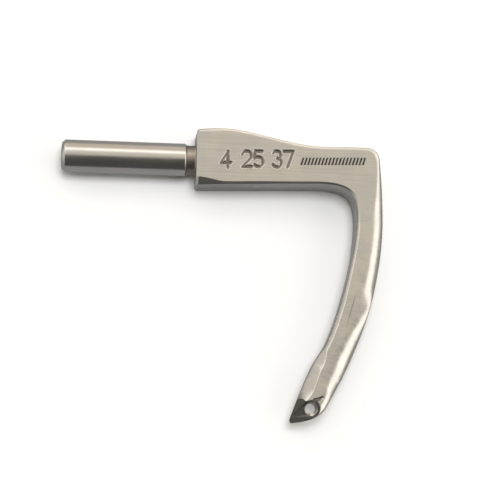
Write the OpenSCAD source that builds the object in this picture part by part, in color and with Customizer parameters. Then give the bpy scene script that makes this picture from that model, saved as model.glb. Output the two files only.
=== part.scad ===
// Looper for a chainstitch sewing machine: a ground shank brazed into a forged body,
// which runs from a stamped block through an elbow to a curved arm and an eyed point.
// X runs along the shank towards the block, Z out of the stamped face.
// The origin is on the shank's axis, where the ground diameter meets the relief neck.

/* [Shank] */
// Diameter of the ground shank
shank_d = 4.0; // [3.8:0.05:4.2]
// Length of the ground shank, from its free end to the neck
shank_l = 15.4; // [12:0.1:20]
// Chamfer around the free end
shank_chamfer = 0.4; // [0.2:0.05:0.6]
// Height of the dome on the free end
dome_h = 0.12; // [0.06:0.02:0.2]
// Diameter of the relief neck
neck_d = 3.55; // [3.3:0.05:3.7]
// Length of the relief neck
neck_l = 1.2; // [0.8:0.1:1.6]
// Diameter of the spigot that is brazed into the block
spigot_d = 3.0; // [2.4:0.1:3.2]
// Length of the spigot
spigot_l = 6; // [4:0.5:8]
// Brazing gap around the spigot
braze_gap = 0.02; // [0.01:0.01:0.05]

/* [Block] */
// Thickness of the block between its broad faces
block_t = 4.6; // [4.4:0.1:5]
// Height of the block's top edge above the shank's axis, at the shank end
block_top = 3.66; // [3.5:0.02:3.8]
// Depth of the block's lower wall below the axis, at the shank end
block_foot = 3.42; // [3.2:0.02:3.6]
// Chamfer around the block's shank end
end_chamfer = 0.22; // [0.1:0.02:0.3]
// Width of the ground chamfer under the block, at the shank end
under_chamfer = 0.9; // [0.3:0.05:1]
// Height of that chamfer on the lower wall
under_chamfer_h = 0.6; // [0.3:0.05:1]

/* [Arm] */
// Height of the slim top edge above the axis, over the elbow
root_top = 1.78; // [1.7:0.02:1.9]
// Depth of the lower wall below the axis, at the elbow
root_foot = 2.9; // [2.8:0.01:3]
// Furthest reach of the arm's outer side from the neck
reach = 24.42; // [24.2:0.02:24.8]
// Thickness of the arm half way down
arm_t = 2.95; // [2.6:0.05:3.1]
// Width of the rounded outer shoulder at the elbow
shoulder_w = 1.9; // [1.5:0.05:2.1]
// Width of the same shoulder where it is broadest, above the blade
swell_w = 2.5; // [2:0.1:2.7]
// Depth of the thread groove along the back of the arm
groove_d = 0.35; // [0.1:0.05:0.5]

/* [Point] */
// Distance of the point along the shank's axis from the neck
point_x = 13; // [12.9:0.05:13.3]
// Distance of the point below the shank's axis
point_drop = 32.25; // [32.1:0.05:32.5]
// Diameter of the thread eye
eye_d = 1.3; // [1:0.05:1.4]
// Countersink around the eye
eye_sink = 0.16; // [0.06:0.02:0.2]
// Slope of the ground facet towards the point, in degrees
facet_slope = 8; // [6:1:10]
// Lean of the ground facet towards the hollow side, in degrees
facet_lean = 25; // [20:1:28]
// Depth of that facet below the broad face, at the eye
facet_depth = 0.6; // [0.45:0.05:0.65]

/* [Hidden] */

face_z = block_t / 2;
shank_r = shank_d / 2;
neck_r = neck_d / 2;
spigot_r = spigot_d / 2;
eye_r = eye_d / 2;
relief = 0.15;
bore_gap = 0.3;
eye_at = [15.62, -30.42];
facet_rise = 0.9;
facet_side = 1.15;
facet_turn = -4;
slit_from = [15.95, -29.5];
slit_turn = 22;
slit_size = [1.1, 0.24, 0.3];
steel = "silver";
bright_steel = "gainsboro";

// Outlines of the broad face, as cubic Bezier curves. The inner ones follow the block's lower
// wall, the fillet and the arm's hollow side; the outer ones its top edge and swelling side.
wall_in = [[neck_l, -block_foot], [6.2, -3.26], [11.2, -3.1], [16.2, -root_foot]];
fillet_in = [[16.2, -root_foot], [20.4, -root_foot], [21.35, -3.9], [21.1, -8]];
arm_in = [[21.1, -8], [20.9, -11.8], [18.7, -20.4], [17, -23.25]];
blade_in = [[17, -23.25], [16.29, -24.44], [15.5, -24.85], [point_x, -point_drop]];
top_out = [[neck_l, block_top - 0.2], [2.4, block_top - 0.1], [3.4, block_top], [4.6, block_top]];
taper_out = [[4.6, block_top], [7.8, block_top], [12.6, root_top], [17, root_top]];
root_out = [[17, root_top], [18.8, root_top], [20.6, root_top + 0.12], [22.3, root_top + 0.06]];
corner_out = [[22.3, root_top + 0.06], [23.3, root_top], [23.75, 1.4], [23.92, 0.5]];
side_out = [[23.92, 0.5], [24.1, -1.7], [reach, -4], [reach, -7.1]];
arm_out = [[reach, -7.1], [reach, -13.2], [22.9, -20.1], [19.2, -27.25]];
blade_out = [[19.2, -27.25], [18.7, -28.15], [18.25, -29], [17.75, -29.85]];
heel_out = [[17.75, -29.85], [17, -31.5], [15.6, -32], [point_x + 0.08, -point_drop]];

// Section of the bar at the marks between two spans: level of its back, width and depth of
// the front edge on the hollow side, width and depth of the front edge on the outer side,
// radius of the back edges, and how deep the thread groove is there
mark_end = [-face_z, under_chamfer, under_chamfer_h, 0.4, 0.22, 0.3, 0];
mark_block = [-face_z, 0.34, 0.3, 0.3, 0.1, 0.3, 0];
mark_taper = [-face_z, 0.27, 0.26, 0.32, 0.1, 0.3, 0];
mark_root = [-face_z, 0.25, 0.25, 0.36, 0.12, 0.35, 0];
mark_corner = [0.1 - face_z, 0.3, 0.3, 0.9, 0.42, 0.4, 0];
mark_elbow = [0.5 - face_z, 0.35, 0.3, shoulder_w, 1.15, 0.5, groove_d / 2];
mark_upper = [face_z + 0.1 - arm_t, 0.35, 0.3, shoulder_w + 0.15, 1.35, 0.5, groove_d];
mark_full = [face_z + 0.15 - arm_t, 0.4, 0.35, swell_w - 0.1, 1.3, 0.5, groove_d];
mark_waist = [face_z + 0.2 - arm_t, 0.5, 0.42, 1.2, 1.2, 0.5, groove_d];
mark_lower = [face_z + 0.3 - arm_t, 0.6, 0.5, swell_w, 1.5, 0.5, groove_d];
mark_blade = [face_z + 0.8 - arm_t, 1.2, 0.95, swell_w - 0.2, 1.25, 0.4, groove_d / 2];
mark_eye = [face_z + 1.05 - arm_t, 1.45, 1.2, 1.3, 0.8, 0.3, 0];
mark_point = [0.35, 0.3, 1, 0.1, 0.5, 0.05, 0];

// Each span: inner curve and its part, outer curve and its part, marks at its ends, stations
spans = [
    [wall_in, [0, 0.25], top_out, [0, 1], mark_end, mark_block, 5],
    [wall_in, [0.25, 1], taper_out, [0, 1], mark_block, mark_taper, 10],
    [fillet_in, [0, 0.42], root_out, [0, 1], mark_taper, mark_root, 6],
    [fillet_in, [0.42, 0.62], corner_out, [0, 1], mark_root, mark_corner, 6],
    [fillet_in, [0.62, 1], side_out, [0, 1], mark_corner, mark_elbow, 6],
    [arm_in, [0, 0.36], arm_out, [0, 0.33], mark_elbow, mark_upper, 6],
    [arm_in, [0.36, 0.48], arm_out, [0.33, 0.43], mark_upper, mark_full, 4],
    [arm_in, [0.48, 0.6], arm_out, [0.43, 0.56], mark_full, mark_waist, 5],
    [arm_in, [0.6, 1], arm_out, [0.56, 0.82], mark_waist, mark_lower, 8],
    [blade_in, [0, 0.42], arm_out, [0.82, 1], mark_lower, mark_blade, 6],
    [blade_in, [0.42, 0.72], blade_out, [0, 1], mark_blade, mark_eye, 4],
    [blade_in, [0.72, 1], heel_out, [0, 1], mark_eye, mark_point, 7]
];

function mix(a, b, t) = a + (b - a) * t;
function smooth(t) = t * t * (3 - 2 * t);
function bezier(c, t) =
    pow(1 - t, 3) * c[0] + 3 * pow(1 - t, 2) * t * c[1] + 3 * (1 - t) * t * t * c[2]
    + pow(t, 3) * c[3];

// One station of the bar: its inner point, its outer point and its section values
function station(span, t) = [
    bezier(span[0], mix(span[1][0], span[1][1], t)),
    bezier(span[2], mix(span[3][0], span[3][1], t)),
    mix(span[4], span[5], smooth(t))
];

// A quarter of an oval corner, from its side on the X direction to its side on the Z direction
function corner(at, w, h, steps, from, to) = [
    for (i = [0 : steps]) let (a = mix(from, to, i / steps)) at + [w * cos(a), h * sin(a)]
];

// Outline of the bar across one station, as distance from the inner point and level
function section(w, low, v) =
    let (
        scale_w = min(1, w / (v[1] + v[3] + 0.1)),
        in_w = v[1] * scale_w,
        out_w = v[3] * scale_w,
        back = min(v[5], w * 0.3),
        mid = w * 0.55,
        half = min(0.45, w * 0.15),
        in_h = min(v[2], (face_z - low) * 0.8),
        out_h = min(v[4], (face_z - low) * 0.6)
    )
    concat(
        corner([back, low + back], back, back, 3, 180, 270),
        [[mid - half, low], [mid - half * 0.6, low + v[6] * 0.8], [mid, low + v[6]],
         [mid + half * 0.6, low + v[6] * 0.8], [mid + half, low]],
        corner([w - back, low + back], back, back, 3, 270, 360),
        corner([w - out_w, face_z - out_h], out_w, out_h, 8, 0, 90),
        [[in_w, face_z], [0, face_z - in_h]]
    );

// The ring of points at one station, drawn in by the end chamfer where asked
function ring(s, shrink) =
    let (w = norm(s[1] - s[0]), along = (s[1] - s[0]) / w)
    [
        for (p = section(w, s[2][0], s[2]))
            let (
                q = w / 2 + (p[0] - w / 2) * (1 - 2 * shrink / w),
                z = p[1] * (1 - 2 * shrink / block_t),
                xy = s[0] + along * q
            )
            [xy[0], xy[1], z]
    ];

first = station(spans[0], 0);
end_ring = ring(first, end_chamfer);
bar_rings = [
    end_ring,
    for (k = [0 : len(spans) - 1])
        for (i = [(k == 0 ? 0.4 : 0) : spans[k][6] - 1])
            ring(station(spans[k], i / spans[k][6]), 0),
    ring(station(spans[len(spans) - 1], 0.985), 0)
];

// A closed skin over rings of points, with flat ends
module skin(rings) {
    n = len(rings[0]);
    last = len(rings) - 1;
    sides = [
        for (k = [0 : last - 1])
            for (i = [0 : n - 1])
                let (j = (i + 1) % n)
                each [
                    [k * n + i, k * n + j, (k + 1) * n + j],
                    [k * n + i, (k + 1) * n + j, (k + 1) * n + i]
                ]
    ];
    start = [for (i = [n - 1 : -1 : 0]) i];
    finish = [for (i = [0 : n - 1]) last * n + i];
    polyhedron(points = [for (r = rings) each r], faces = concat([start], sides, [finish]), convexity = 6);
}

// Ground shank with domed end, relief neck and spigot
module shank() {
    dome = [
        for (i = [0 : 4])
            let (a = i * 90 / 4)
            [(shank_r - shank_chamfer) * sin(a), -shank_l - dome_h * cos(a) + dome_h]
    ];
    color(bright_steel)
        rotate([0, 90, 0])
            rotate_extrude($fn = 96)
                polygon(concat(
                    dome,
                    [[shank_r, shank_chamfer - shank_l + dome_h], [shank_r, -relief], [neck_r, 0],
                     [neck_r, neck_l], [spigot_r, neck_l], [spigot_r, neck_l + spigot_l - bore_gap],
                     [spigot_r - bore_gap, neck_l + spigot_l], [0, neck_l + spigot_l]]
                ));
}

// Blind socket in the block for the spigot
module socket() {
    translate([neck_l - 1, 0, 0])
        rotate([0, 90, 0])
            cylinder(r = spigot_r + braze_gap, h = 1 + spigot_l + bore_gap, $fn = 96);
}

// Space above the ground facet at the point, which ends in a step above the eye
module facet_cut() {
    size = 8;
    translate([eye_at[0], eye_at[1], face_z - facet_depth])
        rotate([facet_slope, -facet_lean, 0])
            rotate([0, 0, facet_turn])
                translate([facet_side - size, facet_rise - size, 0])
                    cube([size, size, size / 2]);
}

// Thread eye through the blade, with a countersink on the facet
module eye_cut() {
    translate([eye_at[0], eye_at[1], -face_z])
        cylinder(r = eye_r, h = block_t + 1, $fn = 96);
    translate([eye_at[0], eye_at[1], face_z - facet_depth])
        rotate([facet_slope, -facet_lean, 0])
            translate([0, 0, -eye_sink])
                cylinder(r1 = eye_r, r2 = eye_r + 2 * eye_sink, h = 2 * eye_sink, $fn = 96);
}

// Short thread slit beside the eye, at the top of the facet
module slit_cut() {
    translate([slit_from[0], slit_from[1], face_z - slit_size[2]])
        rotate([0, 0, slit_turn])
            translate([0, -slit_size[1] / 2, 0])
                cube([slit_size[0], slit_size[1], 1]);
}

// Block, elbow, arm and point, forged in one piece
module looper_body() {
    color(steel)
        difference() {
            skin(bar_rings);
            socket();
            facet_cut();
            eye_cut();
            slit_cut();
        }
}

shank();
looper_body();
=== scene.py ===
"""Looper for a chainstitch sewing machine: finished meshes, materials, studio and camera.

Lengths are in millimetres until a mesh is made, which turns them into metres.
"""
import math

import bpy
import numpy as np
from mathutils import Matrix, Vector


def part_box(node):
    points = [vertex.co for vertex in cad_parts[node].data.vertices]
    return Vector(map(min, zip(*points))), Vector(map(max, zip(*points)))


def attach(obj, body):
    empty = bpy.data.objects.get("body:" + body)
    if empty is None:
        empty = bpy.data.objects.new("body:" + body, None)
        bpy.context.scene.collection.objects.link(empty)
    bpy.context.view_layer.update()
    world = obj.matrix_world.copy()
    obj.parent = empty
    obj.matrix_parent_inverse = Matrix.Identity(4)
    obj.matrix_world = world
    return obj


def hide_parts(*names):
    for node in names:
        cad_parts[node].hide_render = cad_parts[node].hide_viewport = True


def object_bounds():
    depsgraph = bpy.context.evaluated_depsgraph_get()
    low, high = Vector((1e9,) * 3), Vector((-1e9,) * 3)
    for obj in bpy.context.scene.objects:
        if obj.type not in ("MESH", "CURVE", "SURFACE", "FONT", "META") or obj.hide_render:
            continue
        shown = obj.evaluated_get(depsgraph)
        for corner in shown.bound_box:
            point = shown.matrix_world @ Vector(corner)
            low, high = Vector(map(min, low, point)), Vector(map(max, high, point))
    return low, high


MM = 0.001

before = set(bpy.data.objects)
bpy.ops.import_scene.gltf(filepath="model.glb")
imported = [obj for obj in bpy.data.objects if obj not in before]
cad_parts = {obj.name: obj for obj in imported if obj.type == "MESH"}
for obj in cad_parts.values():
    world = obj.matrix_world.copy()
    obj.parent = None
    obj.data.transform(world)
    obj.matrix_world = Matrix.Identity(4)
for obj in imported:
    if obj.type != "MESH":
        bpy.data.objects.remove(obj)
cad_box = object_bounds()

# Driving sizes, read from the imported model
body_low, body_high = (np.array(c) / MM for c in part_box("looper_body"))
shank_low, shank_high = (np.array(c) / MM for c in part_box("shank"))
FACE_Z = float(body_high[2])
NECK_L = float(body_low[0])
REACH = float(body_high[0])
BLOCK_TOP = float(body_high[1])
POINT_DROP = -float(body_low[1])
SHANK_R = float(shank_high[1])
SHANK_L = -float(shank_low[0])
SPIGOT_END = float(shank_high[0])

# Sizes that the boxes don't give
BLOCK_FOOT = 3.42
ROOT_TOP = 1.78
ROOT_FOOT = 2.9
POINT_X = 13.0
ARM_T = 2.95
SHOULDER_W = 1.9
SWELL_W = 2.5
UNDER_CHAMFER = 0.9
UNDER_CHAMFER_H = 0.6
GROOVE_D = 0.35
END_CHAMFER = 0.22
NECK_R = 1.775
SPIGOT_R = 1.5
BRAZE_GAP = 0.02
EYE = np.array([15.62, -30.42])
EYE_R = 0.65
EYE_SINK = 0.13
EYE_SINK_W = 0.19
EYE_SINK_SHIFT = 0.05
FACET_DEPTH = 0.6
FACET_SLOPE = math.radians(8)
FACET_LEAN = math.radians(25)


# ---------------------------------------------------------------- small helpers

def mix(a, b, t):
    return a + (b - a) * t


def smooth(t):
    t = np.clip(t, 0, 1)
    return t * t * (3 - 2 * t)


def bezier(c, t):
    c = np.array(c, float)
    return (1 - t) ** 3 * c[0] + 3 * (1 - t) ** 2 * t * c[1] + 3 * (1 - t) * t * t * c[2] + t ** 3 * c[3]


def make_object(name, points, faces, values=None):
    """A mesh object from points in millimetres, with a float value per point for each named layer."""
    mesh = bpy.data.meshes.new(name)
    mesh.from_pydata((np.asarray(points) * MM).tolist(), [], faces)
    mesh.update()
    for layer, numbers in (values or {}).items():
        attribute = mesh.attributes.new(layer, "FLOAT", "POINT")
        attribute.data.foreach_set("value", np.asarray(numbers, np.float32))
    obj = bpy.data.objects.new(name, mesh)
    bpy.context.scene.collection.objects.link(obj)
    return obj


def grid_faces(rows, columns, closed=True):
    """Quads over rows of points, where each row is a ring if closed."""
    across = columns if closed else columns - 1
    faces = []
    for r in range(rows - 1):
        for c in range(across):
            d = (c + 1) % columns
            faces.append((r * columns + c, r * columns + d, (r + 1) * columns + d, (r + 1) * columns + c))
    return faces


def lathe(name, profile, segments, along_x=False, values=None):
    """A closed solid turned from a profile of (distance along the axis, radius)."""
    points = []
    for distance, radius in profile:
        for k in range(segments):
            a = 2 * math.pi * k / segments
            u, v = radius * math.cos(a), radius * math.sin(a)
            points.append((distance, u, v) if along_x else (u, v, distance))
    faces = grid_faces(len(profile), segments)
    if along_x:
        faces = [f[::-1] for f in faces]
    first = list(range(segments))
    last = [(len(profile) - 1) * segments + k for k in range(segments)]
    faces += [first, last[::-1]] if along_x else [first[::-1], last]
    layers = {k: np.repeat(v, segments) for k, v in (values or {}).items()}
    return make_object(name, points, faces, layers)


def cut(target, tools):
    """Takes the tools away from the target, and deletes them."""
    for tool in tools:
        step = target.modifiers.new("cut", "BOOLEAN")
        step.operation = "DIFFERENCE"
        step.solver = "MANIFOLD"
        step.object = tool
    graph = bpy.context.evaluated_depsgraph_get()
    finished = bpy.data.meshes.new_from_object(target.evaluated_get(graph))
    target.modifiers.clear()
    old = target.data
    target.data = finished
    bpy.data.meshes.remove(old)
    for tool in tools:
        bpy.data.meshes.remove(tool.data)


def shade(obj, degrees):
    """Smooth shading, with edges sharper than the given angle kept crisp."""
    obj.data.polygons.foreach_set("use_smooth", [True] * len(obj.data.polygons))
    obj.data.set_sharp_from_angle(angle=math.radians(degrees))
    obj.data.update()


# ---------------------------------------------------------------- outlines of the forged body

WALL_IN = [[NECK_L, -BLOCK_FOOT], [6.2, -3.26], [11.2, -3.1], [16.2, -ROOT_FOOT]]
FILLET_IN = [[16.2, -ROOT_FOOT], [20.4, -ROOT_FOOT], [21.35, -3.9], [21.1, -8]]
ARM_IN = [[21.1, -8], [20.9, -11.8], [18.7, -20.4], [17, -23.25]]
BLADE_IN = [[17, -23.25], [16.29, -24.44], [15.5, -24.85], [POINT_X, -POINT_DROP]]
TOP_OUT = [[NECK_L, BLOCK_TOP - 0.2], [2.4, BLOCK_TOP - 0.1], [3.4, BLOCK_TOP], [4.6, BLOCK_TOP]]
TAPER_OUT = [[4.6, BLOCK_TOP], [7.8, BLOCK_TOP], [12.6, ROOT_TOP], [17, ROOT_TOP]]
ROOT_OUT = [[17, ROOT_TOP], [18.8, ROOT_TOP], [20.6, ROOT_TOP + 0.12], [22.3, ROOT_TOP + 0.06]]
CORNER_OUT = [[22.3, ROOT_TOP + 0.06], [23.3, ROOT_TOP], [23.75, 1.4], [23.92, 0.5]]
SIDE_OUT = [[23.92, 0.5], [24.1, -1.7], [REACH, -4], [REACH, -7.1]]
ARM_OUT = [[REACH, -7.1], [REACH, -13.2], [22.9, -20.1], [19.2, -27.25]]
BLADE_OUT = [[19.2, -27.25], [18.7, -28.15], [18.25, -29], [17.75, -29.85]]
HEEL_OUT = [[17.75, -29.85], [17, -31.5], [15.6, -32], [POINT_X + 0.08, -POINT_DROP]]

# Section at the marks between spans: level of the back; width, depth and squareness of the
# front edge on the hollow side; the same for the rounded outer edge; radius of the back
# edges; depth of the thread groove; and how far the surface is polished
LOW = -FACE_Z
MARKS = {
    "end": (LOW, UNDER_CHAMFER, UNDER_CHAMFER_H, 1.05, 0.4, 0.22, 2, 0.3, 0, 0),
    "block": (LOW, 0.3, 0.28, 1.05, 0.3, 0.085, 1.25, 0.3, 0, 0),
    "taper": (LOW, 0.27, 0.26, 1.3, 0.32, 0.09, 1.25, 0.3, 0, 0),
    "root": (LOW, 0.25, 0.25, 1.5, 0.36, 0.11, 1.3, 0.35, 0, 0),
    "corner": (LOW + 0.1, 0.3, 0.3, 1.6, 0.9, 0.42, 1.8, 0.4, 0, 0.15),
    "elbow": (LOW + 0.5, 0.35, 0.3, 1.4, SHOULDER_W, 1.15, 2, 0.5, GROOVE_D / 2, 0.8),
    "upper": (FACE_Z + 0.1 - ARM_T, 0.35, 0.3, 1.3, SHOULDER_W + 0.15, 1.35, 2, 0.5, GROOVE_D, 1),
    "full": (FACE_Z + 0.15 - ARM_T, 0.4, 0.35, 1.3, SWELL_W - 0.1, 1.3, 2, 0.5, GROOVE_D, 1),
    "waist": (FACE_Z + 0.2 - ARM_T, 0.5, 0.42, 1.25, 2.3, 0.45, 2, 0.5, GROOVE_D, 0.8),
    "lower": (FACE_Z + 0.3 - ARM_T, 0.6, 0.5, 1.25, SWELL_W, 1.5, 2, 0.5, GROOVE_D, 1),
    "blade": (FACE_Z + 0.8 - ARM_T, 1.2, 0.95, 1.15, SWELL_W - 0.2, 1.25, 2, 0.4, GROOVE_D / 2, 1),
    "eye": (FACE_Z + 1.05 - ARM_T, 1.45, 1.2, 1.12, 1.3, 0.8, 2, 0.3, 0, 1),
    "point": (0.35, 0.3, 1.0, 1.06, 0.1, 0.5, 2, 0.05, 0, 1),
}

# Each span: inner curve and its part, outer curve and its part, marks at its ends, stations
SPANS = [
    (WALL_IN, (0, 0.25), TOP_OUT, (0, 1), "end", "block", 60),
    (WALL_IN, (0.25, 1), TAPER_OUT, (0, 1), "block", "taper", 190),
    (FILLET_IN, (0, 0.42), ROOT_OUT, (0, 1), "taper", "root", 72),
    (FILLET_IN, (0.42, 0.62), CORNER_OUT, (0, 1), "root", "corner", 24),
    (FILLET_IN, (0.62, 1), SIDE_OUT, (0, 1), "corner", "elbow", 30),
    (ARM_IN, (0, 0.36), ARM_OUT, (0, 0.33), "elbow", "upper", 30),
    (ARM_IN, (0.36, 0.48), ARM_OUT, (0.33, 0.43), "upper", "full", 18),
    (ARM_IN, (0.48, 0.6), ARM_OUT, (0.43, 0.56), "full", "waist", 22),
    (ARM_IN, (0.6, 1), ARM_OUT, (0.56, 0.82), "waist", "lower", 38),
    (BLADE_IN, (0, 0.42), ARM_OUT, (0.82, 1), "lower", "blade", 40),
    (BLADE_IN, (0.42, 0.72), BLADE_OUT, (0, 1), "blade", "eye", 56),
    (BLADE_IN, (0.72, 0.998), HEEL_OUT, (0, 0.996), "eye", "point", 90),
]

# How many points the section has on each part of its outline
BACK_EDGE = 6
BACK_FACE = 12
SHOULDER = 18
FACE = 72
HOLLOW_EDGE = 16

# Limits on the section, as shares of the bar's height or width
EDGE_SHARE_H = 0.8
SHOULDER_SHARE_H = 0.6
BACK_SHARE = 0.3
# Thread groove: its middle as a share of the width, and its half width, which is GROOVE_HALF
# millimetres but no more than GROOVE_HALF_SHARE of the width
GROOVE_PLACE = 0.55
GROOVE_HALF = 0.45
GROOVE_HALF_SHARE = 0.15
# On the free arm a shoulder lower than this stands in by up to SHOULDER_INSET for each millimetre
# that it lacks, which keeps the outline of the arm smooth from the front
SHOULDER_FULL_H = 1.2
SHOULDER_INSET = 0.087
# How much closer the points of the front face are near its edges than in the middle
FACE_CROWDING = 0.38


def oval(count, start, end):
    a = np.radians(np.linspace(start, end, count))
    return np.cos(a), np.sin(a)


def section(width, v):
    """Outline of the bar as (distance from the inner point, level), and which points are on the front."""
    low, in_w, in_h, in_square, out_w, out_h, out_square, back, groove, _ = v
    fit = min(1, width / (in_w + out_w + 0.1))
    in_w, out_w = in_w * fit, out_w * fit
    height = FACE_Z - low
    in_h, out_h = min(in_h, height * EDGE_SHARE_H), min(out_h, height * SHOULDER_SHARE_H)
    back = min(back, width * BACK_SHARE)
    c, s = oval(BACK_EDGE, 180, 270)
    parts = [np.stack([back + back * c, low + back + back * s], 1)]
    half = min(GROOVE_HALF, width * GROOVE_HALF_SHARE)
    across = np.linspace(back, width - back, BACK_FACE + 2)[1:-1]
    off = np.clip(np.abs(across - width * GROOVE_PLACE) / half, 0, 1)
    parts.append(np.stack([across, low + groove * (1 - smooth(off))], 1))
    c, s = oval(BACK_EDGE, 270, 360)
    parts.append(np.stack([width - back + back * c, low + back + back * s], 1))
    c, s = oval(SHOULDER, 0, 90)
    c, s = np.abs(c) ** (2 / out_square), np.abs(s) ** (2 / out_square)
    free_arm = groove == GROOVE_D
    inset = SHOULDER_INSET * np.clip(SHOULDER_FULL_H - out_h, 0, 1) if free_arm else 0
    parts.append(np.stack([width - inset - out_w + out_w * c, FACE_Z - out_h + out_h * s], 1))
    t = np.linspace(0, 1, FACE + 2)[1:-1]
    t = 0.5 + (t - 0.5) * (1 - FACE_CROWDING + FACE_CROWDING * (2 * t - 1) ** 2)
    t = (t - t[0]) / (t[-1] - t[0])
    across = mix(width - out_w, in_w, 0.01 + 0.98 * t)
    parts.append(np.stack([across, np.full(FACE, FACE_Z)], 1))
    c, s = oval(HOLLOW_EDGE, 90, 180)
    power = 2 / in_square
    edge_x = in_w * (1 - np.abs(c) ** power)
    edge_z = FACE_Z - in_h * (1 - np.abs(s) ** power)
    parts.append(np.stack([edge_x, edge_z], 1))
    front = np.concatenate([np.zeros(2 * BACK_EDGE + BACK_FACE), np.ones(SHOULDER + FACE + HOLLOW_EDGE)])
    return np.concatenate(parts), front


def stations():
    """Every station of the bar: inner point, outer point and section values."""
    for span in SPANS:
        inner, (i0, i1), outer, (o0, o1), start, end, count = span
        a, b = np.array(MARKS[start]), np.array(MARKS[end])
        last = 1 if span is SPANS[-1] else 0
        for k in range(count + last):
            t = k / count
            yield bezier(inner, mix(i0, i1, t)), bezier(outer, mix(o0, o1, t)), mix(a, b, smooth(t))


# ---------------------------------------------------------------- size stamps and etched band

def arc(x, y, r, start, end, steps=14, squash=1.0):
    a = np.radians(np.linspace(start, end, steps))
    return np.stack([x + r * np.cos(a), y + r * squash * np.sin(a)], 1)


# Numerals of a hand punch, one unit tall, as strokes
NUMERALS = {
    2: [np.concatenate([arc(0.31, 0.7, 0.29, 165, -35), [[0.02, 0.0], [0.62, 0.0]]])],
    3: [arc(0.29, 0.76, 0.25, 150, -80), arc(0.29, 0.27, 0.29, 80, -150)],
    4: [np.array([[0.46, 0.0], [0.46, 1.0], [0.0, 0.3], [0.64, 0.3]])],
    5: [np.array([[0.56, 1.0], [0.1, 1.0], [0.06, 0.56]]), arc(0.28, 0.32, 0.31, 130, -140)],
    7: [np.array([[0.0, 1.0], [0.6, 1.0], [0.22, 0.0]])],
}
STAMPS = [(4, 4.15, -1.28), (2, 6.75, -1.1), (5, 8.2, -1.08), (3, 10.5, -1.0), (7, 11.95, -0.98)]
STAMP_H = 1.95
STAMP_TILT = math.radians(1.5)
STROKE = 0.175
STAMP_DEPTH = 0.12
STAMP_LIP = 0.012
STAMP_FROM = 3.5
STAMP_TO = 14.5
STAMP_HALF_H = 2


def distance_to_strokes(xy, strokes):
    best = np.full(len(xy), 9.0)
    for line in strokes:
        for a, b in zip(line[:-1], line[1:]):
            along = b - a
            t = np.clip(((xy - a) @ along) / (along @ along), 0, 1)
            best = np.minimum(best, np.linalg.norm(xy - a - t[:, None] * along, axis=1))
    return best


def stamp_strokes():
    c, s = math.cos(STAMP_TILT), math.sin(STAMP_TILT)
    turn = np.array([[c, s], [-s, c]])
    for numeral, x, y in STAMPS:
        for line in NUMERALS[numeral]:
            yield (line * STAMP_H) @ turn + [x, y]


BAND_FROM = 14.0
BAND_TO = 22.1
BAND_Y = -0.2
BAND_RISE = 0.035
BAND_H = 0.95
BAND_BARS = 19
BAR_W = 0.24
BAR_SLANT = 0.3
BAND_DEPTH = 0.008


def etched(xy):
    """1 inside the bars of the etched hatch band, 0 outside."""
    x = xy[:, 0] - BAND_FROM
    y = xy[:, 1] - BAND_Y - BAND_RISE * x
    pitch = (BAND_TO - BAND_FROM) / BAND_BARS
    u = x - BAR_SLANT * y
    number = np.floor(u / pitch)
    inside = (number >= 0) & (number < BAND_BARS)
    gap = np.maximum(np.abs(u - (number + 0.5) * pitch) - BAR_W / 2, np.abs(y) - BAND_H / 2)
    return np.where(inside, 1 - smooth((gap + 0.03) / 0.06), 0)


# ---------------------------------------------------------------- forged body

SLIT_FROM = np.array([15.95, -29.53])
SLIT_TO = np.array([16.95, -29.14])
SLIT_DEPTH = 0.32
SLIT_HALF = 0.05
SLIT_WIDENS = 0.11
SLIT_EDGE = 0.1
TIP_FROM = -27
# Edge of the ground facet: the hollow side, the step under the nose, the slit, the heel side
FACET_EDGE = [(9.7, -36), (18.05, -36), (17.1, -31.4), (16.75, -30.4), (16.45, -29.8), (16.05, -29.5),
              (15.4, -29.62), (14.95, -29.72), (14.72, -29.42), (14.4, -29.3), (9.7, -28.9)]
NOSE_SPREAD = 0.3
# A face is part of the ground facet when it is this near the facet's level and this square to it
FACET_NEAR = 0.01
FACET_SQUARE = 0.99
FACET_NORMAL = Vector((-math.tan(FACET_LEAN), -math.tan(FACET_SLOPE), 1)).normalized()


def facet_level(x, y):
    """Level of the ground facet at a place on the plan."""
    return FACE_Z - FACET_DEPTH + (x - EYE[0]) * math.tan(FACET_LEAN) + (y - EYE[1]) * math.tan(FACET_SLOPE)


def facet_tool():
    """Cutter for the ground facet, which leaves a sloping step around it."""
    edge = np.array(FACET_EDGE)
    level = facet_level(edge[:, 0], edge[:, 1])
    away = (edge - EYE) / np.linalg.norm(edge - EYE, axis=1)[:, None]
    count = len(edge)
    rings = [np.column_stack([edge, level]),
             np.column_stack([edge + NOSE_SPREAD * away, np.full(count, FACE_Z + 1)])]
    faces = grid_faces(2, count) + [list(range(count))[::-1], [count + k for k in range(count)]]
    return make_object("facet_tool", np.concatenate(rings), faces, {"polish": np.ones(2 * count)})


def mark_facet(obj):
    """Gives the faces of the ground facet the value 1 in a layer of their own."""
    mesh = obj.data
    layer = mesh.attributes.new("facet", "FLOAT", "CORNER")
    values = np.zeros(len(mesh.loops), np.float32)
    for face in mesh.polygons:
        x, y, z = face.center / MM
        near = abs(z - facet_level(x, y)) < FACET_NEAR
        if near and face.normal.dot(FACET_NORMAL) > FACET_SQUARE:
            values[face.loop_start:face.loop_start + face.loop_total] = 1
    layer.data.foreach_set("value", values)


def body_rings():
    """Rings of points along the bar, with the front flags and the polish of their points."""
    rings, fronts, polish = [], [], []
    for inner, outer, v in stations():
        width = float(np.linalg.norm(outer - inner))
        outline, front = section(width, v)
        along = (outer - inner) / width
        xy = inner + outline[:, :1] * along
        rings.append(np.concatenate([xy, outline[:, 1:]], 1))
        fronts.append(front)
        polish.append(np.full(len(outline), v[-1]))
    return rings, fronts, polish


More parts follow.
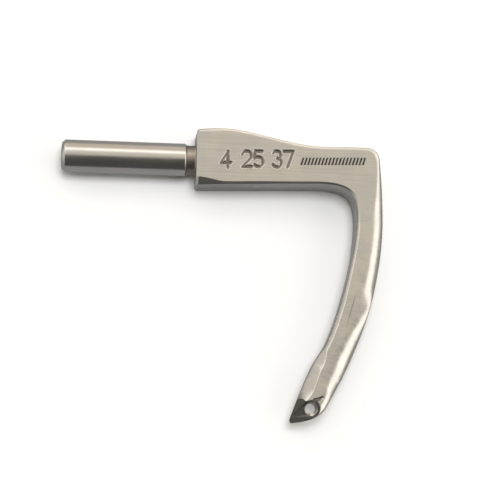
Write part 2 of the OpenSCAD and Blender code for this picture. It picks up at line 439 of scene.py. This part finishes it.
def chamfer_end(rings, fronts, polish):
    """Chamfers the block's shank end all round, by a smaller ring in place of the first ones."""
    cap = rings[0].copy()
    shrink = 1 - 2 * END_CHAMFER / (BLOCK_TOP + BLOCK_FOOT)
    middle = (cap[:, 1].max() + cap[:, 1].min()) / 2
    cap[:, 1] = middle + (cap[:, 1] - middle) * shrink
    cap[:, 2] *= 1 - END_CHAMFER / FACE_Z
    keep = [k for k, r in enumerate(rings) if r[:, 0].min() > NECK_L + END_CHAMFER]
    return ([cap] + [rings[k] for k in keep],
            [fronts[0]] + [fronts[k] for k in keep],
            [polish[0] + 1] + [polish[k] for k in keep])


def press_stamps(points, front):
    """Sinks the numerals into the front, with a raised lip. Returns how deep each point is in them, which the
    material darkens as dirt and painted shade.
    """
    groove_dirt_and_shade = np.zeros(len(points))
    x, y = points[:, 0], points[:, 1]
    near = front & (x > STAMP_FROM) & (x < STAMP_TO) & (np.abs(y) < STAMP_HALF_H)
    gap = distance_to_strokes(points[near, :2], list(stamp_strokes()))
    sunk = 1 - smooth((gap - STROKE * 0.55) / (STROKE * 0.75))
    lip = np.exp(-((gap - STROKE * 1.75) / 0.06) ** 2)
    groove_dirt_and_shade[near] = sunk
    points[near, 2] += STAMP_LIP * lip - STAMP_DEPTH * sunk
    return groove_dirt_and_shade


def cut_slit(points, front, groove_dirt_and_shade):
    """Sinks the slit beside the eye, which narrows and gets shallower towards the heel."""
    tip = front & (points[:, 1] < TIP_FROM)
    xy = points[tip, :2]
    slit = distance_to_strokes(xy, [np.array([SLIT_FROM, SLIT_TO])])
    taper = np.clip((SLIT_TO[0] - xy[:, 0]) / (SLIT_TO[0] - SLIT_FROM[0]), 0, 1)
    groove = 1 - smooth((slit - SLIT_HALF - SLIT_WIDENS * taper) / SLIT_EDGE)
    depth = SLIT_DEPTH * np.clip((SLIT_TO[0] + 0.3 - xy[:, 0]) / 1.1, 0.3, 1)
    points[tip, 2] -= depth * groove
    # The slit's groove is painted dark as well, as painted shade
    groove_dirt_and_shade[tip] = np.maximum(groove_dirt_and_shade[tip], groove)


def body_mesh():
    rings, fronts, polish = chamfer_end(*body_rings())
    columns = len(rings[0])
    points = np.concatenate(rings)
    front = np.concatenate(fronts) > 0
    polish = np.concatenate(polish)

    groove_dirt_and_shade = press_stamps(points, front)
    etch = np.where(front & (points[:, 2] > FACE_Z - 0.2), etched(points[:, :2]), 0)
    points[:, 2] -= BAND_DEPTH * etch
    cut_slit(points, front, groove_dirt_and_shade)

    # The shank end is a fan of triangles round a point on the shank's axis, because the socket is
    # cut through its middle and one many-sided face would come out of that with a gap
    faces = grid_faces(len(rings), columns)
    axis = len(points)
    points = np.concatenate([points, [[NECK_L, 0, 0]]])
    faces += [(axis, (k + 1) % columns, k) for k in range(columns)]
    faces.append([(len(rings) - 1) * columns + k for k in range(columns)])
    layers = {"groove_dirt_and_shade": groove_dirt_and_shade, "etch": etch, "polish": np.clip(polish, 0, 1)}
    # The fan's point takes the values of the ring's first point
    layers = {name: np.append(values, values[0]) for name, values in layers.items()}
    return make_object("looper_body_finished", points, faces, layers)


def eye_tools():
    """Cutters for the thread eye and for its countersink, which is ground square to the facet."""
    hole = lathe("eye_hole", [(-FACE_Z, EYE_R), (FACE_Z + 1, EYE_R)], 96, values={"polish": [1, 1]})
    hole.data.transform(Matrix.Translation(Vector((EYE[0], EYE[1], 0)) * MM))
    bottom = EYE_R * 0.98  # just inside the hole's wall, so that the two cuts run together
    wide = EYE_R + EYE_SINK_W
    cone = [(-EYE_SINK, bottom), (0, wide), (EYE_SINK, 2 * wide - bottom)]
    sink = lathe("eye_sink", cone, 96, values={"polish": [1, 1, 1]})
    turn = Matrix.Rotation(-FACET_LEAN, 4, "Y") @ Matrix.Rotation(FACET_SLOPE, 4, "X")
    place = Matrix.Translation(Vector((EYE[0], EYE[1] - EYE_SINK_SHIFT, FACE_Z - FACET_DEPTH)) * MM)
    sink.data.transform(place @ turn)
    return [hole, sink]


def socket_tool():
    """Cutter for the blind socket that takes the shank's spigot."""
    radius, far = SPIGOT_R + BRAZE_GAP, SPIGOT_END + 0.3
    return lathe("socket", [(NECK_L - 1, radius), (far, radius)], 96, along_x=True)


# ---------------------------------------------------------------- turned shank

def shank_profile():
    """(distance, radius) of the shank from its domed end, over the neck, to the spigot's end."""
    dome_h, dome_edge_r = 0.1, 0.12
    chamfer_w, chamfer_l, shoulder_r = 0.42, 0.62, 0.3
    profile = []
    crown = SHANK_R - chamfer_w
    for r in np.linspace(0.05, 0.97, 9):
        profile.append((-SHANK_L + dome_h * r ** 2, crown * r))
    for a in np.linspace(0, 45, 5):
        c, s = math.cos(math.radians(a)), math.sin(math.radians(a))
        profile.append((-SHANK_L + dome_h + dome_edge_r * (1 - c), crown + dome_edge_r * s))
    for a in np.linspace(50, 90, 6):
        c, s = math.cos(math.radians(a)), math.sin(math.radians(a))
        profile.append((-SHANK_L + chamfer_l - shoulder_r * c, SHANK_R - shoulder_r + shoulder_r * s))
    for x in np.linspace(-SHANK_L + 0.8, -0.35, 60):
        profile.append((x, SHANK_R))

    # Relief neck, with a fillet against the block, and then the hidden spigot
    fillet_l, fillet_h, spigot_bevel = 0.4, 0.24, 0.3
    profile += [(-0.2, SHANK_R), (-0.16, SHANK_R - 0.01), (-0.06, SHANK_R - 0.09), (0, NECK_R + 0.06)]
    profile += [(x, NECK_R) for x in (0.06, 0.14, 0.3, 0.5, 0.7)]
    for a in np.linspace(0, 80, 8):
        c, s = math.cos(math.radians(a)), math.sin(math.radians(a))
        profile.append((NECK_L - fillet_l + fillet_l * s, NECK_R + fillet_h * (1 - c)))
    profile += [(NECK_L, NECK_R + 0.23), (NECK_L + 0.001, SPIGOT_R)]
    profile += [(SPIGOT_END - spigot_bevel, SPIGOT_R), (SPIGOT_END, SPIGOT_R - spigot_bevel)]
    return profile


# ---------------------------------------------------------------- materials

class Nodes:
    """Short ways to add shader nodes to one material."""

    def __init__(self, name):
        self.material = bpy.data.materials.new(name)
        self.material.use_nodes = True
        self.tree = self.material.node_tree
        self.shader = self.tree.nodes["Principled BSDF"]
        self.place = self.tree.nodes.new("ShaderNodeTexCoord").outputs["Object"]

    def link(self, a, b):
        self.tree.links.new(a, b)

    def noise(self, scale, detail=3.0, roughness=0.55):
        mapping = self.tree.nodes.new("ShaderNodeMapping")
        mapping.inputs["Scale"].default_value = scale
        self.link(self.place, mapping.inputs["Vector"])
        noise = self.tree.nodes.new("ShaderNodeTexNoise")
        noise.inputs["Scale"].default_value = 1.0
        noise.inputs["Detail"].default_value = detail
        noise.inputs["Roughness"].default_value = roughness
        self.link(mapping.outputs["Vector"], noise.inputs["Vector"])
        return noise.outputs["Fac"]

    def layer(self, name):
        node = self.tree.nodes.new("ShaderNodeAttribute")
        node.attribute_name = name
        return node.outputs["Fac"]

    def math(self, operation, a, b, clamp=False):
        node = self.tree.nodes.new("ShaderNodeMath")
        node.operation = operation
        node.use_clamp = clamp
        for socket, value in zip(node.inputs, (a, b)):
            if isinstance(value, (int, float)):
                socket.default_value = value
            else:
                self.link(value, socket)
        return node.outputs[0]

    def spread(self, factor, low, high):
        """The factor, taken from 0.3-0.7, moved to low-high."""
        node = self.tree.nodes.new("ShaderNodeMapRange")
        node.inputs["From Min"].default_value = 0.3
        node.inputs["From Max"].default_value = 0.7
        node.inputs["To Min"].default_value = low
        node.inputs["To Max"].default_value = high
        self.link(factor, node.inputs["Value"])
        return node.outputs["Result"]

    def blend(self, factor, a, b, data="RGBA"):
        node = self.tree.nodes.new("ShaderNodeMix")
        node.data_type = data
        kind = {"RGBA": "Color", "FLOAT": "Float"}[data]
        sockets = {s.identifier: s for s in list(node.inputs) + list(node.outputs)}
        self.link(factor, sockets["Factor_Float"])
        for key, value in zip(("A_" + kind, "B_" + kind), (a, b)):
            if isinstance(value, (int, float, tuple)):
                sockets[key].default_value = value
            else:
                self.link(value, sockets[key])
        return sockets["Result_" + kind]

    def bump(self, height, distance, strength, after=None):
        node = self.tree.nodes.new("ShaderNodeBump")
        node.inputs["Strength"].default_value = strength
        node.inputs["Distance"].default_value = distance
        self.link(height, node.inputs["Height"])
        if after is not None:
            self.link(after, node.inputs["Normal"])
        return node.outputs["Normal"]


def brushed_steel():
    """Satin ground block that runs into a polished arm, with stamped, etched and ground areas. The stamps and
    the slit are darkened as dirt and painted shade, and the ground facet carries a painted dark reflection.
    """
    n = Nodes("brushed_steel")
    lines = n.noise((90, 5200, 900), 4, 0.6)
    fine = n.noise((600, 14000, 3000), 2, 0.5)
    cloud = n.noise((420, 420, 420), 3, 0.5)
    smear = n.noise((900, 1100, 900), 4, 0.6)
    specks = n.noise((5200, 5200, 5200), 2, 0.6)
    polish, groove_dirt_and_shade, etch, facet = (n.layer(k) for k in ("polish", "groove_dirt_and_shade", "etch", "facet"))

    warm, cool = (0.6, 0.565, 0.515, 1), (0.53, 0.52, 0.495, 1)
    colour = n.blend(n.spread(cloud, 0, 1), warm, cool)
    scratch, groove_dirt_and_shade_colour = (0.42, 0.4, 0.37, 1), (0.12, 0.1, 0.08, 1)
    facet_painted_dark_reflection, in_etch = (0.07, 0.069, 0.064, 1), (0.05, 0.042, 0.036, 1)
    unpolished = n.math("SUBTRACT", 1.0, n.math("MULTIPLY", polish, 0.7))
    scratched = n.math("MULTIPLY", n.spread(lines, 0, 0.55), unpolished, True)
    colour = n.blend(scratched, colour, scratch)
    # Numerals and slit darkened: dirt and painted shade in the grooves
    colour = n.blend(n.math("MULTIPLY", groove_dirt_and_shade, 0.8, True), colour, groove_dirt_and_shade_colour)
    # Painted dark reflection: the ground facet's colour is set near black
    colour = n.blend(n.math("MULTIPLY", facet, 0.9), colour, facet_painted_dark_reflection)
    colour = n.blend(n.math("MULTIPLY", etch, 0.93), colour, in_etch)
    n.link(colour, n.shader.inputs["Base Color"])
    n.shader.inputs["Metallic"].default_value = 1.0

    satin = n.spread(lines, 0.27, 0.42)
    bright = n.spread(cloud, 0.18, 0.3)
    rough = n.blend(polish, satin, bright, "FLOAT")
    rough = n.blend(etch, rough, 0.75, "FLOAT")
    rough = n.blend(facet, rough, n.spread(specks, 0.2, 0.42), "FLOAT")
    n.link(rough, n.shader.inputs["Roughness"])

    calm = n.math("SUBTRACT", 1.0, n.math("MULTIPLY", polish, 0.85))
    grain = n.math("MULTIPLY", n.math("ADD", lines, n.math("MULTIPLY", fine, 0.5)), calm)
    normal = n.bump(grain, 0.00002, 0.6)
    normal = n.bump(n.math("MULTIPLY", cloud, polish), 0.00008, 0.7, normal)
    normal = n.bump(n.math("MULTIPLY", smear, polish), 0.00004, 0.6, normal)
    n.link(normal, n.shader.inputs["Normal"])
    return n.material


def ground_steel():
    """Bright centreless-ground pin, with faint rings and small marks from handling, and a rougher neck
    painted darker and warmer: painted shade in its groove, and partly heat tint from brazing.
    """
    n = Nodes("ground_steel")
    rings = n.noise((4200, 260, 260), 3, 0.6)
    cloud = n.noise((380, 700, 700), 3, 0.5)
    warm, cool = (0.58, 0.555, 0.525, 1), (0.54, 0.53, 0.51, 1)
    neck_tint_and_shade_light, neck_tint_and_shade_dark = (0.44, 0.38, 0.34, 1), (0.2, 0.18, 0.15, 1)
    patches = n.spread(cloud, 0, 1)
    turned = n.layer("turned")
    colour = n.blend(patches, warm, cool)
    # Neck painted darker and warmer: painted shade in the groove, partly heat tint from brazing
    colour = n.blend(turned, colour, n.blend(patches, neck_tint_and_shade_light, neck_tint_and_shade_dark))
    n.link(colour, n.shader.inputs["Base Color"])
    n.shader.inputs["Metallic"].default_value = 1.0
    n.link(n.blend(turned, n.spread(cloud, 0.16, 0.27), 0.36, "FLOAT"), n.shader.inputs["Roughness"])
    normal = n.bump(rings, 0.000004, 0.5)
    normal = n.bump(cloud, 0.00003, 0.4, normal)
    n.link(normal, n.shader.inputs["Normal"])
    return n.material


def plain_card(name, level):
    n = Nodes(name)
    n.shader.inputs["Base Color"].default_value = (level, level, level, 1)
    n.shader.inputs["Roughness"].default_value = 0.9
    return n.material


# ---------------------------------------------------------------- pieces

body = body_mesh()
cut(body, [facet_tool()] + eye_tools() + [socket_tool()])
mark_facet(body)
shade(body, 32)
body.data.materials.clear()
body.data.materials.append(brushed_steel())
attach(body, "root")
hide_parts("looper_body")

profile = shank_profile()
# 1 from the neck on, where the finish is rougher and the colour is painted darker, as shade in the groove
turned = [float(smooth((x + 0.1) / 0.15)) for x, _ in profile]
shank = lathe("shank_finished", profile, 160, along_x=True, values={"turned": turned})
shade(shank, 32)
shank.data.materials.append(ground_steel())
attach(shank, "root")
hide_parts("shank")


# ---------------------------------------------------------------- studio

FLOOR_HALF = 900
FLOOR_LEVEL = 0.67
CARD_LEVEL = 0.33
CARD_DROP = 0.05


def build_card(name, level, z):
    corners = [(FLOOR_HALF * i, FLOOR_HALF * j, z) for i, j in ((-1, -1), (1, -1), (1, 1), (-1, 1))]
    card = make_object(name, corners, [(0, 1, 2, 3)])
    card.data.materials.append(plain_card(name, level))
    return card


def build_floor():
    """A pale floor, and a duller card just below it, which is what the polished steel reflects."""
    floor = build_card("studio_floor", FLOOR_LEVEL, -FACE_Z)
    floor.visible_glossy = False
    floor.visible_shadow = False
    card = build_card("studio_card", CARD_LEVEL, -FACE_Z - CARD_DROP)
    card.visible_camera = False
    card.visible_diffuse = False


WORLD_LEVEL = 2.5


def build_world():
    """A light tent seen by direction: mid grey overhead, bright towards +Y and the sides, dark towards -Y."""
    world = bpy.data.worlds.new("studio")
    bpy.context.scene.world = world
    world.use_nodes = True
    tree = world.node_tree
    tree.nodes.clear()

    def node(kind, **inputs):
        made = tree.nodes.new(kind)
        for key, value in inputs.items():
            made.inputs[key].default_value = value
        return made

    place = node("ShaderNodeTexCoord")
    split = node("ShaderNodeSeparateXYZ")
    tree.links.new(place.outputs["Generated"], split.inputs[0])
    angle = node("ShaderNodeMath")
    angle.operation = "ARCTAN2"
    tree.links.new(split.outputs["Y"], angle.inputs[0])
    tree.links.new(split.outputs["Z"], angle.inputs[1])
    turn = node("ShaderNodeMapRange")
    turn.inputs["From Min"].default_value = -math.pi
    turn.inputs["From Max"].default_value = math.pi
    tree.links.new(angle.outputs[0], turn.inputs["Value"])

    # Colours by angle about X: 0 is overhead, 90 is towards +Y and -90 towards -Y
    ramp = node("ShaderNodeValToRGB")
    stops = [(-180, (0.42, 0.44, 0.45)), (-104, (0.5, 0.51, 0.51)), (-94, (0.09, 0.09, 0.09)),
             (-40, (0.09, 0.09, 0.085)), (-12, (0.16, 0.16, 0.15)), (4, (0.84, 0.8, 0.7)),
             (26, (1.0, 0.95, 0.84)), (36, (2.1, 2.0, 1.85)), (44, (2.1, 2.0, 1.85)),
             (56, (0.84, 0.76, 0.64)), (80, (0.9, 0.8, 0.66)), (130, (0.7, 0.62, 0.52)),
             (180, (0.4, 0.4, 0.4))]
    ramp.color_ramp.elements.remove(ramp.color_ramp.elements[1])
    for k, (degrees, colour) in enumerate(stops):
        where = (degrees + 180) / 360
        stop = ramp.color_ramp.elements[0] if k == 0 else ramp.color_ramp.elements.new(where)
        stop.position = where
        stop.color = (*(c / WORLD_LEVEL for c in colour), 1)
    tree.links.new(turn.outputs["Result"], ramp.inputs["Fac"])

    # Over that, by how far a direction leans along X: where each colour starts, where it is
    # full, what it is, and the same start and end along another axis where it has one
    colour = ramp.outputs["Color"]
    sides = [("X", -0.36, -0.5, (1.9, 1.85, 1.75), ("Y", -0.05, 0.15)),
             ("X", -0.63, -0.73, (0.9, 0.87, 0.8), None),
             ("X", 0.52, 0.66, (2.0, 1.95, 1.85), None),
             ("X", 0.9, 0.99, (0.7, 0.66, 0.6), None)]

    def ease(axis, start, end):
        part = node("ShaderNodeMapRange")
        part.interpolation_type = "SMOOTHSTEP"
        part.inputs["From Min"].default_value = start
        part.inputs["From Max"].default_value = end
        tree.links.new(split.outputs[axis], part.inputs["Value"])
        return part.outputs["Result"]

    for axis, start, end, level, within in sides:
        part = ease(axis, start, end)
        if within:
            both = node("ShaderNodeMath")
            both.operation = "MULTIPLY"
            tree.links.new(part, both.inputs[0])
            tree.links.new(ease(*within), both.inputs[1])
            part = both.outputs[0]
        blend = node("ShaderNodeMix")
        blend.data_type = "RGBA"
        sockets = {s.identifier: s for s in list(blend.inputs) + list(blend.outputs)}
        tree.links.new(part, sockets["Factor_Float"])
        tree.links.new(colour, sockets["A_Color"])
        sockets["B_Color"].default_value = (*(c / WORLD_LEVEL for c in level), 1)
        colour = sockets["Result_Color"]

    lit = node("ShaderNodeBackground", Strength=WORLD_LEVEL)
    tree.links.new(colour, lit.inputs["Color"])
    plain = node("ShaderNodeBackground", Strength=1.0)
    plain.inputs["Color"].default_value = (0.95, 0.95, 0.95, 1)
    ray = node("ShaderNodeLightPath")
    choose = node("ShaderNodeMixShader")
    tree.links.new(ray.outputs["Is Camera Ray"], choose.inputs[0])
    tree.links.new(lit.outputs[0], choose.inputs[1])
    tree.links.new(plain.outputs[0], choose.inputs[2])
    out = node("ShaderNodeOutputWorld")
    tree.links.new(choose.outputs[0], out.inputs["Surface"])


def box_centre():
    return (Vector(cad_box[0]) + Vector(cad_box[1])) / 2


def build_light():
    """A soft lamp overhead, for the shadow on the floor. It isn't seen in the steel."""
    data = bpy.data.lights.new("key", "AREA")
    data.shape = "RECTANGLE"
    data.size, data.size_y = 0.2, 0.2
    data.energy = 2.0
    data.color = (0.97, 0.985, 1)
    light = bpy.data.objects.new("key", data)
    bpy.context.scene.collection.objects.link(light)
    out = Vector((0.02, 0.08, 0.5))
    light.location = box_centre() + out
    light.rotation_euler = (-out).to_track_quat("-Z", "Y").to_euler()
    light.visible_glossy = False


# ---------------------------------------------------------------- camera

CAMERA_SIDE = math.radians(5)
CAMERA_BELOW = math.radians(10)
CAMERA_ROLL = math.radians(0.92)
CAMERA_AWAY = 200
CAMERA_AIM = Vector((2.455, 4.685, -1.082))
CAMERA_LENS = 121.2


def build_camera():
    """Nearly straight down on the broad face, a little from the shank side and from the point side."""
    aim = box_centre() + CAMERA_AIM * MM
    out = Vector((-math.sin(CAMERA_SIDE), -math.sin(CAMERA_BELOW), 0))
    out.z = math.sqrt(1 - out.length_squared)
    up = Vector((0, 1, 0))
    up = (up - out * up.dot(out)).normalized()
    right = up.cross(out)
    turn = Matrix.Rotation(CAMERA_ROLL, 3, out)
    up, right = turn @ up, turn @ right
    data = bpy.data.cameras.new("camera")
    data.sensor_width = 36
    data.lens = CAMERA_LENS
    data.clip_start = 0.01
    camera = bpy.data.objects.new("camera", data)
    bpy.context.scene.collection.objects.link(camera)
    axes = Matrix((right, up, out)).transposed().to_4x4()
    camera.matrix_world = Matrix.Translation(aim + out * CAMERA_AWAY * MM) @ axes
    bpy.context.scene.camera = camera


build_floor()
build_world()
build_light()
build_camera()
bpy.context.scene.view_settings.view_transform = "Standard"
